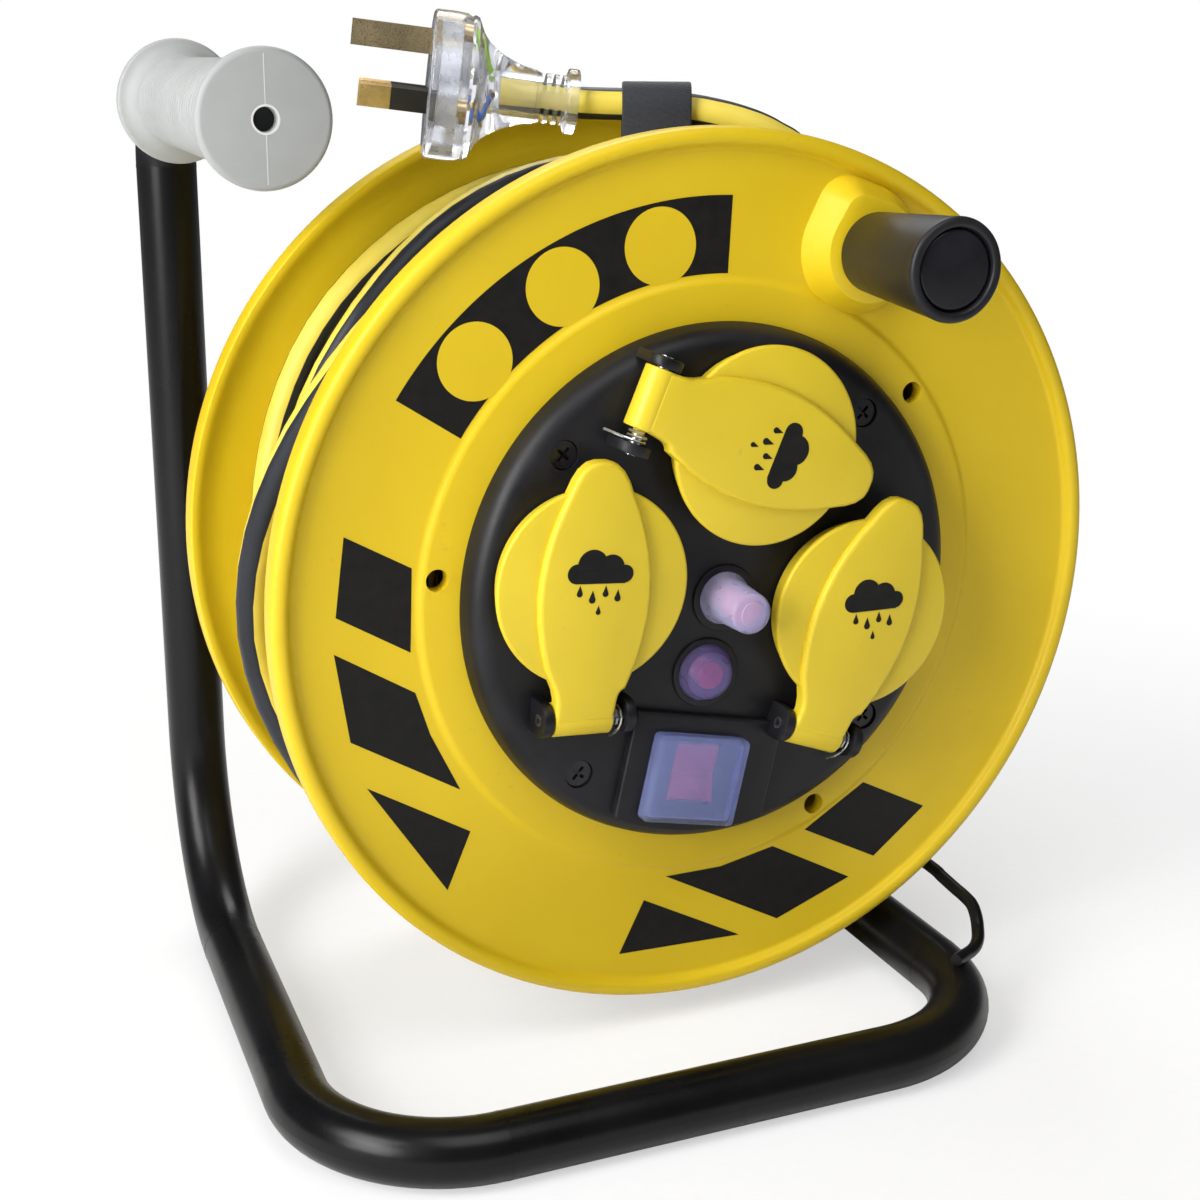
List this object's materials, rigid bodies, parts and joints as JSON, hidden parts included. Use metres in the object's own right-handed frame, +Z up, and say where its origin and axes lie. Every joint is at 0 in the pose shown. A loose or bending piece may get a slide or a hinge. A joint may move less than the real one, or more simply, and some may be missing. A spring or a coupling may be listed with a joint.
{
  "type": "extension cord reel",
  "caption": "Extension cord wound on a flanged reel that turns on a bent tube stand, with covered outlets, a switch, a winding knob and a carry grip.",
  "frame": {"origin": "on the floor, under the middle of the box round the reel and its stand, without the cord", "axes": "+Z up, +Y towards the back along the reel's axis, +X to the right seen from the outlet side; front is -Y"},
  "size_m": [0.2348, 0.187, 0.2591],
  "materials": {
    "frame_paint": "satin black powder coat",
    "grip_plastic": "ribbed light grey",
    "black_plastic": "moulded black",
    "steel": "zinc plated",
    "reel_plastic": "satin yellow",
    "nylon": "natural nylon",
    "panel_plastic": "fine textured black",
    "screw_black": "black",
    "outlet_plastic": "black",
    "brass": "plain",
    "wire_insulation": "coloured insulation",
    "rubber": "black",
    "switch_plastic": "black",
    "button_red": "red",
    "silicone": "translucent silicone",
    "cover_plastic": "satin yellow",
    "knob_plastic": "satin black",
    "cable_sheath": "two-tone yellow and black sheath",
    "clear_plastic": "clear moulding"
  },
  "bodies": {
    "frame": {"frame_tube": "frame_paint", "stay_wire": "frame_paint", "carry_grip": "grip_plastic", "tube_caps": "black_plastic", "axle": "steel", "axle_plate": "frame_paint", "thrust_washers": "steel", "retaining_ring": "steel", "lead_cable": "cable_sheath", "lead_strap": "rubber", "plug_body": "clear_plastic", "plug_core": "clear_plastic", "plug_pins": "brass", "pin_sleeves": "switch_plastic", "plug_wires": "wire_insulation", "strain_relief": "clear_plastic"},
    "reel": {"front_flange": "reel_plastic", "rear_flange": "reel_plastic", "drum_core": "reel_plastic", "hub_bush": "nylon", "rear_screws": "steel", "socket_panel": "panel_plastic", "panel_screws": "screw_black", "outlet_left": "outlet_plastic", "outlet_top": "outlet_plastic", "outlet_right": "outlet_plastic", "outlet_contacts": "brass", "terminal_block": "nylon", "inner_wires": "wire_insulation", "cable_gland": "rubber", "switch_body": "switch_plastic", "switch_boot": "silicone", "overload_body": "switch_plastic", "overload_boot": "silicone", "test_body": "switch_plastic", "test_boot": "silicone", "hinge_pins": "steel", "hinge_springs": "steel", "knob_spindle": "steel", "winding_core": "cable_sheath", "winding_layer": "cable_sheath"},
    "knob": {"knob": "knob_plastic", "knob_cap": "knob_plastic"},
    "cover_left": {"cover_left": "cover_plastic", "seal_left": "rubber"},
    "cover_top": {"cover_top": "cover_plastic", "seal_top": "rubber"},
    "cover_right": {"cover_right": "cover_plastic", "seal_right": "rubber"},
    "rocker": {"switch_rocker": "button_red"},
    "overload_button": {"overload_button": "button_red"},
    "test_button": {"test_button": "button_red"}
  },
  "joints": [
    {"name": "reel_spin", "type": "hinge", "parent": "frame", "child": "reel", "pos_m": [0.0049, 0.01115, 0.1208], "axis": [0, 1, 0], "continuous": true},
    {"name": "knob_spin", "type": "hinge", "parent": "reel", "child": "knob", "pos_m": [0.04464, -0.05585, 0.203], "axis": [0, 1, 0], "continuous": true},
    {"name": "cover_left_hinge", "type": "hinge", "parent": "reel", "child": "cover_left", "pos_m": [-0.03522, -0.04735, 0.09536], "axis": [0.9981, 0, -0.061], "range_deg": [0, 105], "stiffness_Nm_per_rad": 0.02, "springref_deg": -28.65},
    {"name": "cover_top_hinge", "type": "hinge", "parent": "reel", "child": "cover_top", "pos_m": [-0.01839, -0.04735, 0.17143], "axis": [-0.3827, 0, -0.9239], "range_deg": [0, 105], "stiffness_Nm_per_rad": 0.02, "springref_deg": -28.65},
    {"name": "cover_right_hinge", "type": "hinge", "parent": "reel", "child": "cover_right", "pos_m": [0.02944, -0.04735, 0.08249], "axis": [0.9367, 0, -0.3502], "range_deg": [0, 105], "stiffness_Nm_per_rad": 0.02, "springref_deg": -28.65},
    {"name": "rocker_tilt", "type": "hinge", "parent": "reel", "child": "rocker", "pos_m": [-0.0034, -0.04085, 0.075], "axis": [0.9781, 0, -0.2079], "range_deg": [0, 16]},
    {"name": "overload_press", "type": "slide", "parent": "reel", "child": "overload_button", "axis": [0, 1, 0], "range_m": [0, 0.002], "stiffness_N_per_m": 600, "springref_m": -0.001},
    {"name": "test_press", "type": "slide", "parent": "reel", "child": "test_button", "axis": [0, 1, 0], "range_m": [0, 0.0015], "stiffness_N_per_m": 500, "springref_m": -0.001}
  ]
}
